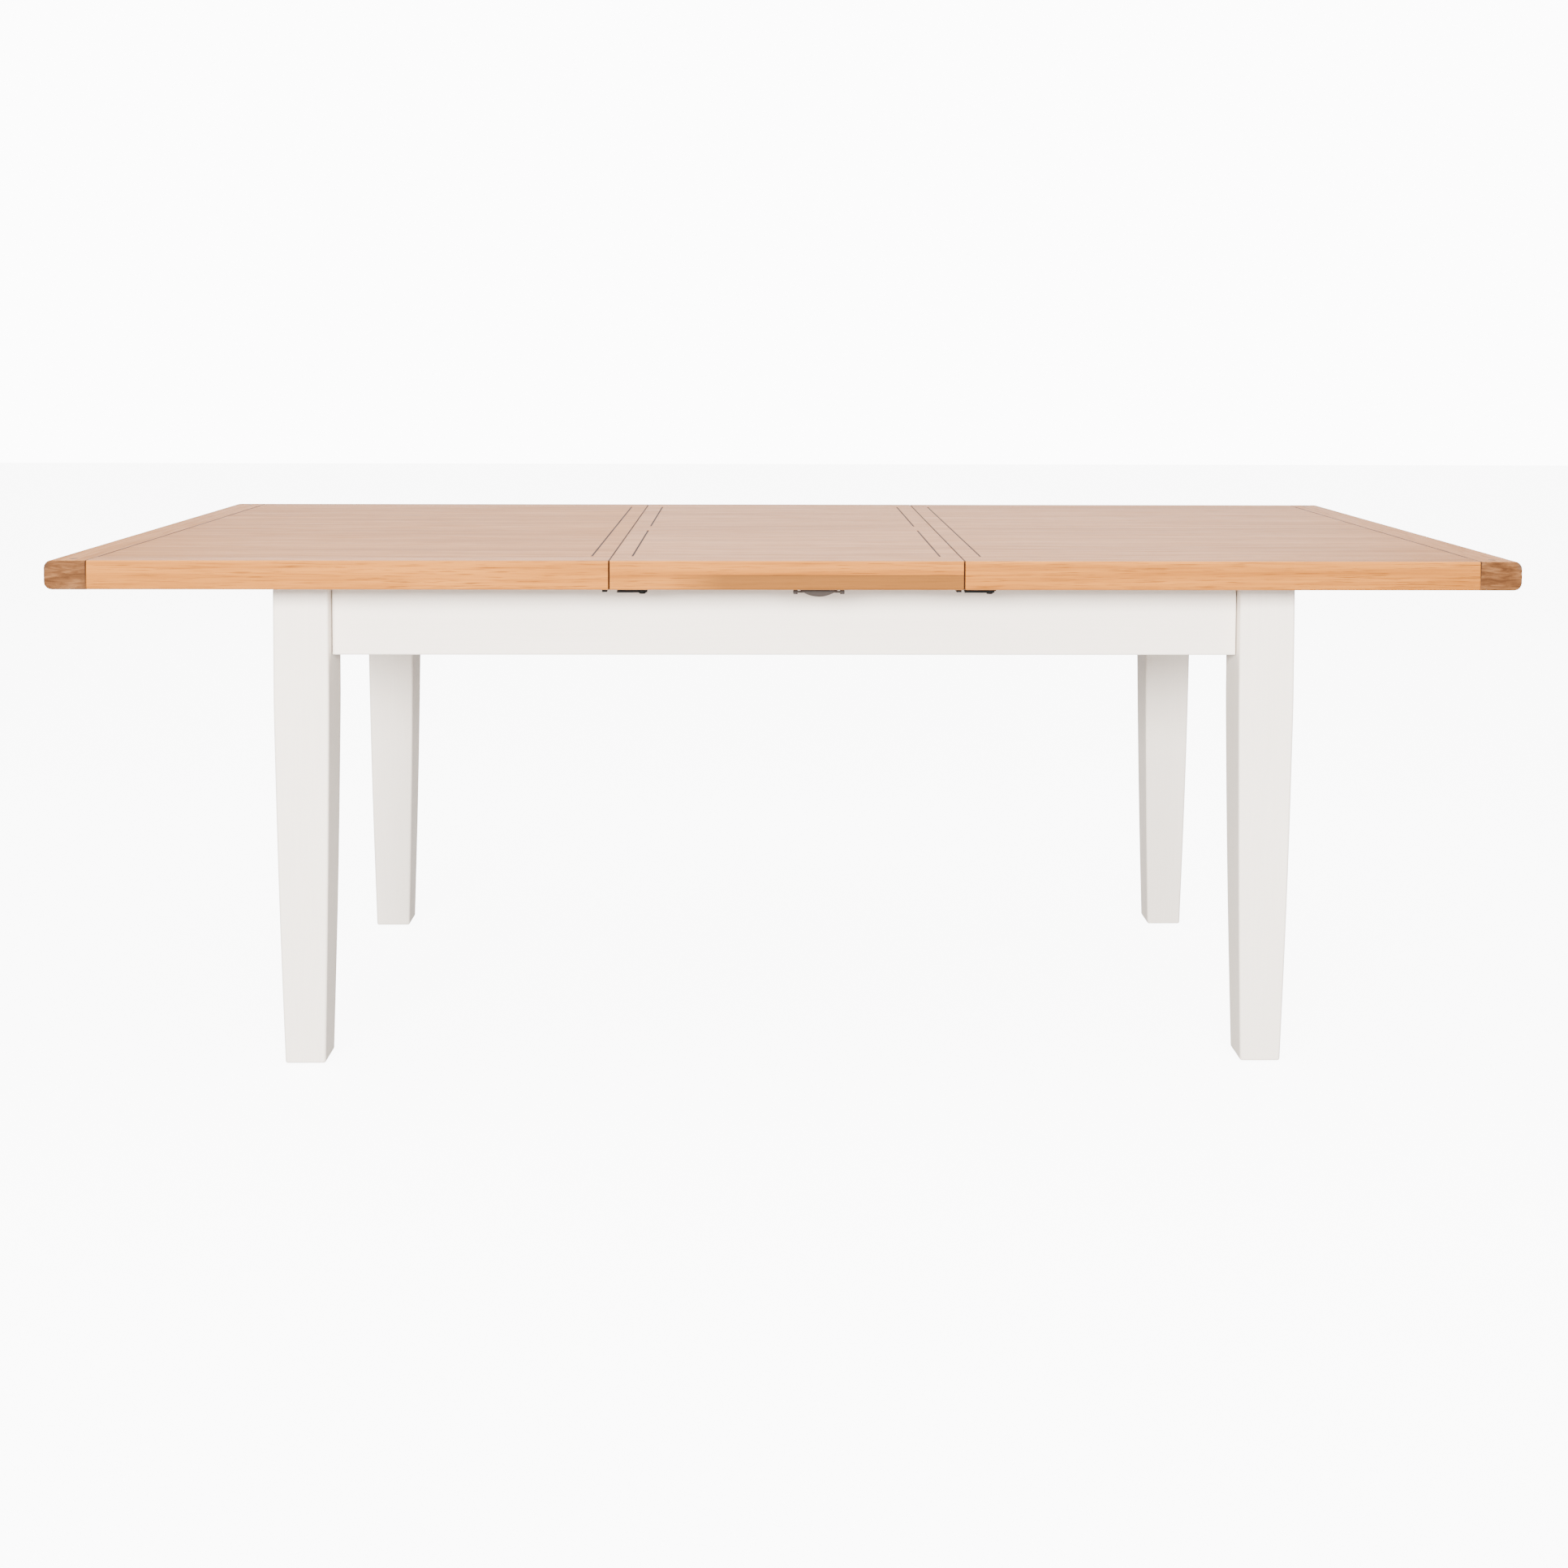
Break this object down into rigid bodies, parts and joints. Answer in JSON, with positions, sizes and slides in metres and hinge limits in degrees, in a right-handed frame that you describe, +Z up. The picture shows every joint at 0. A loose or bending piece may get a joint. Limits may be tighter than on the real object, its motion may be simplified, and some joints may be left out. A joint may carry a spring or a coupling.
{
  "type": "extending dining table",
  "caption": "Rectangular extending dining table, pale oak top with a fold-away centre leaf, painted frame on tapered legs.",
  "frame": {"origin": "centre of the table at floor level, with the halves out and the leaf in place", "axes": "+X along the length to the viewer's right, +Y from front to back, +Z up"},
  "size_m": [2.1, 0.95, 0.77],
  "materials": {
    "painted_wood": "satin off-white paint",
    "beech": "plain",
    "zinc_steel": "zinc plated",
    "glide_plastic": "matte",
    "oak_veneer": "satin pale oak",
    "oak_edge": "satin oak",
    "oak_end": "satin oak",
    "dark_plug": "satin dark wood",
    "brass": "satin",
    "black_steel": "satin black",
    "bronze": "dark bronze"
  },
  "bodies": {
    "frame": {"leg_front_left": "painted_wood", "leg_front_right": "painted_wood", "leg_back_left": "painted_wood", "leg_back_right": "painted_wood", "apron_front": "painted_wood", "apron_back": "painted_wood", "apron_left": "painted_wood", "apron_right": "painted_wood", "corner_blocks": "beech", "corner_bolts": "zinc_steel", "foot_glides": "glide_plastic", "guide_rail_front": "beech", "guide_rail_back": "beech", "guide_rail_screws": "zinc_steel", "bearer_left": "beech", "bearer_right": "beech", "leaf_rest_blocks": "beech", "aft_pivot_pins": "zinc_steel"},
    "left_half": {"top_panel_left": "oak_veneer", "breadboard_end_left": "oak_end", "end_plugs_left": "dark_plug", "lipping_left_front": "oak_edge", "lipping_left_back": "oak_edge", "runner_left_front": "beech", "runner_left_back": "beech", "left_keepers": "black_steel"},
    "right_half": {"top_panel_right": "oak_veneer", "breadboard_end_right": "oak_end", "end_plugs_right": "dark_plug", "lipping_right_front": "oak_edge", "lipping_right_back": "oak_edge", "runner_right_front": "beech", "runner_right_back": "beech", "right_latch_plates": "black_steel"},
    "fore_arms": {"fore_arm_left": "black_steel", "fore_arm_right": "black_steel", "arm_shaft": "zinc_steel"},
    "aft_arms": {"aft_arm_left": "black_steel", "aft_arm_right": "black_steel"},
    "leaf_back_wing": {"leaf_panel_back": "oak_veneer", "leaf_lipping_back": "oak_edge", "leaf_hinge_barrels_back": "brass", "leaf_carrier_left": "black_steel", "leaf_carrier_right": "black_steel", "carrier_screws": "zinc_steel", "carrier_pins": "zinc_steel", "leaf_latch_plate_back": "black_steel", "leaf_keeper_back": "black_steel"},
    "leaf_front_wing": {"leaf_panel_front": "oak_veneer", "leaf_lipping_front": "oak_edge", "leaf_hinge_barrels_front": "brass", "leaf_latch_plate_front": "black_steel", "leaf_keeper_front": "black_steel", "leaf_pull_posts": "bronze"},
    "leaf_lever_front": {"leaf_latch_lever_front": "black_steel"},
    "leaf_lever_back": {"leaf_latch_lever_back": "black_steel"},
    "right_lever_front": {"right_latch_lever_front": "black_steel"},
    "right_lever_back": {"right_latch_lever_back": "black_steel"},
    "drop_pull": {"leaf_pull": "bronze"}
  },
  "joints": [
    {"name": "left_slide", "type": "slide", "parent": "frame", "child": "left_half", "axis": [-1, 0, 0], "range_m": [0, 0.06]},
    {"name": "right_slide", "type": "slide", "parent": "frame", "child": "right_half", "axis": [1, 0, 0], "range_m": [0, 0.06]},
    {"name": "leaf_swing", "type": "hinge", "parent": "frame", "child": "fore_arms", "pos_m": [0, 0.00992, 0.63634], "axis": [1, 0, 0], "range_deg": [0, 134]},
    {"name": "aft_arm_swing", "type": "hinge", "parent": "frame", "child": "aft_arms", "pos_m": [0, 0.18992, 0.63634], "axis": [1, 0, 0], "range_deg": [0, 134]},
    {"name": "leaf_level", "type": "hinge", "parent": "fore_arms", "child": "leaf_back_wing", "pos_m": [0, 0.105, 0.725], "axis": [1, 0, 0], "range_deg": [-134, 0]},
    {"name": "leaf_fold", "type": "hinge", "parent": "leaf_back_wing", "child": "leaf_front_wing", "pos_m": [0, 0, 0.77025], "axis": [-1, 0, 0], "range_deg": [0, 180.02]},
    {"name": "leaf_lever_front_turn", "type": "hinge", "parent": "leaf_front_wing", "child": "leaf_lever_front", "pos_m": [-0.20625, -0.456, 0.7242], "axis": [0, 0, -1], "range_deg": [0, 90]},
    {"name": "leaf_lever_back_turn", "type": "hinge", "parent": "leaf_back_wing", "child": "leaf_lever_back", "pos_m": [-0.20625, 0.456, 0.7242], "axis": [0, 0, 1], "range_deg": [0, 90]},
    {"name": "right_lever_front_turn", "type": "hinge", "parent": "right_half", "child": "right_lever_front", "pos_m": [0.2905, -0.456, 0.7242], "axis": [0, 0, -1], "range_deg": [0, 90]},
    {"name": "right_lever_back_turn", "type": "hinge", "parent": "right_half", "child": "right_lever_back", "pos_m": [0.2905, 0.456, 0.7242], "axis": [0, 0, 1], "range_deg": [0, 90]},
    {"name": "pull_swing", "type": "hinge", "parent": "leaf_front_wing", "child": "drop_pull", "pos_m": [0.046, -0.456, 0.7234], "axis": [1, 0, 0], "range_deg": [-60, 60]}
  ],
  "couplings": [
    {"joint": "aft_arm_swing", "follows": "leaf_swing", "ratio": 1},
    {"joint": "leaf_level", "follows": "leaf_swing", "ratio": -1},
    {"joint": "leaf_fold", "follows": "leaf_swing", "ratio": 1.3433}
  ]
}
